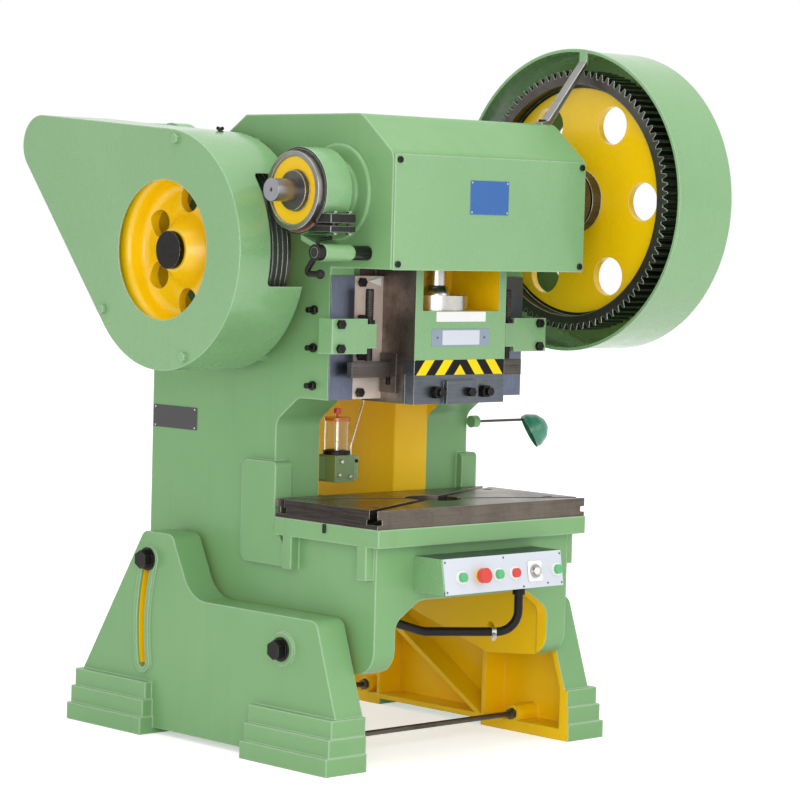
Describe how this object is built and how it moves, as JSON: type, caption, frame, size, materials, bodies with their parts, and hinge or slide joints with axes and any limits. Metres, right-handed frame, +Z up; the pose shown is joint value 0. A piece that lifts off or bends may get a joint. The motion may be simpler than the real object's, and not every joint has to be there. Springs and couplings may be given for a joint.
{
  "type": "open-back inclinable power press",
  "caption": "Mechanical stamping press with a C-shaped cast frame tilting on two legs, a crank-driven slide, a geared flywheel drive, guards and a panel.",
  "frame": {"origin": "on the floor, in the middle of the four foot bolt holes", "axes": "+X to the operator's right, +Y to the rear, +Z up"},
  "size_m": [1.441, 1.5299, 2.0199],
  "materials": {
    "green_paint": "glossy",
    "green_smooth": "glossy",
    "yellow_paint": "glossy",
    "machined_steel": "satin",
    "dark_steel": "satin",
    "black_bolts": "satin",
    "gear_iron": "oiled",
    "bronze": "satin",
    "chrome": "polished",
    "lining": "matte",
    "belt_rubber": "matte",
    "panel_grey": "satin",
    "teal_paint": "glossy",
    "motor_green": "satin",
    "white_plastic": "glossy",
    "green_plastic": "glossy",
    "red_plastic": "glossy",
    "clear_glass": "clear"
  },
  "bodies": {
    "base": {"left_leg": "green_paint", "right_leg": "green_paint", "tie_rods": "machined_steel"},
    "frame": {"press_frame": "green_paint", "bolster_plate": "machined_steel", "bolster_bolts": "black_bolts", "hinge_bolts": "black_bolts", "front_cover": "green_smooth", "front_cover_screws": "black_bolts", "guide_face_plates": "machined_steel", "gib_plates": "dark_steel", "hex_bolts": "black_bolts", "gib_adjusting_screws": "black_bolts", "stop_brackets": "green_smooth", "stop_screws": "dark_steel", "slide_pointer": "yellow_paint", "crank_housings": "green_smooth", "crank_bushes": "bronze", "brake_band": "green_smooth", "brake_lining": "lining", "brake_stud": "green_smooth", "drive_shaft_bearings": "dark_steel", "v_belts": "belt_rubber", "motor": "motor_green", "motor_bracket": "motor_green", "belt_cover": "green_smooth", "belt_cover_studs": "black_bolts", "gear_cover": "green_smooth", "control_box": "green_smooth", "control_panel": "panel_grey", "button_bezels": "white_plastic", "conduit": "belt_rubber", "lubricator_body": "motor_green", "lubricator_glass": "clear_glass", "lamp_arm": "dark_steel"},
    "crank": {"crankshaft": "machined_steel", "brake_drum": "yellow_paint"},
    "conrod": {"connecting_rod": "machined_steel", "ball_screw": "machined_steel"},
    "gear": {"bull_gear": "yellow_paint", "clutch_sleeve": "dark_steel"},
    "drive": {"drive_shaft": "machined_steel", "pinion": "dark_steel", "flywheel": "yellow_paint"},
    "motor_rotor": {"motor_pulley": "gear_iron"},
    "slide": {"slide_block": "green_smooth", "ball_seat_ring": "chrome", "clamp_block": "machined_steel", "clamp_nuts": "black_bolts", "bar_guide_plates": "dark_steel"},
    "bar": {"knockout_bar": "dark_steel"},
    "lever": {"brake_lever": "black_bolts"},
    "shade": {"lamp_shade": "teal_paint"},
    "button_left": {"start_button_left": "green_plastic"},
    "button_run": {"run_button": "green_plastic"},
    "button_stop": {"stop_button": "red_plastic"},
    "button_right": {"start_button_right": "green_plastic"},
    "estop": {"emergency_stop": "red_plastic"},
    "key": {"key_switch": "white_plastic"},
    "knob": {"lubricator_knob": "red_plastic"}
  },
  "joints": [
    {"name": "frame_tilt", "type": "hinge", "parent": "base", "child": "frame", "pos_m": [0, -0.33925, 0.316], "axis": [-1, 0, 0], "range_deg": [0, 27]},
    {"name": "crank_turn", "type": "hinge", "parent": "frame", "child": "crank", "pos_m": [0, -0.38925, 1.575], "axis": [1, 0, 0], "continuous": true},
    {"name": "rod_swing", "type": "hinge", "parent": "crank", "child": "conrod", "pos_m": [0, -0.38925, 1.615], "axis": [1, 0, 0], "continuous": true},
    {"name": "drive_spin", "type": "hinge", "parent": "frame", "child": "drive", "pos_m": [0, 0.01574, 1.403], "axis": [1, 0, 0], "continuous": true},
    {"name": "gear_spin", "type": "hinge", "parent": "frame", "child": "gear", "pos_m": [0, -0.38925, 1.575], "axis": [1, 0, 0], "continuous": true},
    {"name": "motor_spin", "type": "hinge", "parent": "frame", "child": "motor_rotor", "pos_m": [0, 0.58575, 1.695], "axis": [1, 0, 0], "continuous": true},
    {"name": "slide_stroke", "type": "slide", "parent": "frame", "child": "slide", "axis": [0, 0, 1], "range_m": [-0.08, 0]},
    {"name": "knockout_travel", "type": "slide", "parent": "slide", "child": "bar", "axis": [0, 0, 1], "range_m": [-0.02, 0]},
    {"name": "brake_release", "type": "hinge", "parent": "frame", "child": "lever", "pos_m": [0, -0.50725, 1.41], "axis": [1, 0, 0], "range_deg": [-10, 10]},
    {"name": "lamp_tilt", "type": "hinge", "parent": "frame", "child": "shade", "pos_m": [0.6, -0.16425, 0.908], "axis": [1, 0, 0], "range_deg": [-45, 45]},
    {"name": "press_start_left", "type": "slide", "parent": "frame", "child": "button_left", "axis": [0, 0.9869, -0.1616], "range_m": [0, 0.005], "stiffness_N_per_m": 400},
    {"name": "press_run", "type": "slide", "parent": "frame", "child": "button_run", "axis": [0, 0.9869, -0.1616], "range_m": [0, 0.005], "stiffness_N_per_m": 400},
    {"name": "press_stop", "type": "slide", "parent": "frame", "child": "button_stop", "axis": [0, 0.9869, -0.1616], "range_m": [0, 0.005], "stiffness_N_per_m": 400},
    {"name": "press_start_right", "type": "slide", "parent": "frame", "child": "button_right", "axis": [0, 0.9869, -0.1616], "range_m": [0, 0.005], "stiffness_N_per_m": 400},
    {"name": "press_emergency_stop", "type": "slide", "parent": "frame", "child": "estop", "axis": [0, 0.9869, -0.1616], "range_m": [0, 0.004], "stiffness_N_per_m": 400},
    {"name": "key_turn", "type": "hinge", "parent": "frame", "child": "key", "pos_m": [0.121, -0.68986, 0.52939], "axis": [0, -0.9869, 0.1616], "range_deg": [0, 90]},
    {"name": "lubricator_stroke", "type": "slide", "parent": "frame", "child": "knob", "axis": [0, 0, 1], "range_m": [-0.012, 0], "stiffness_N_per_m": 200, "springref_m": 0.02}
  ],
  "couplings": [
    {"joint": "rod_swing", "follows": "crank_turn", "ratio": -1},
    {"joint": "gear_spin", "follows": "drive_spin", "ratio": -0.17021},
    {"joint": "motor_spin", "follows": "drive_spin", "ratio": 5.0345}
  ]
}
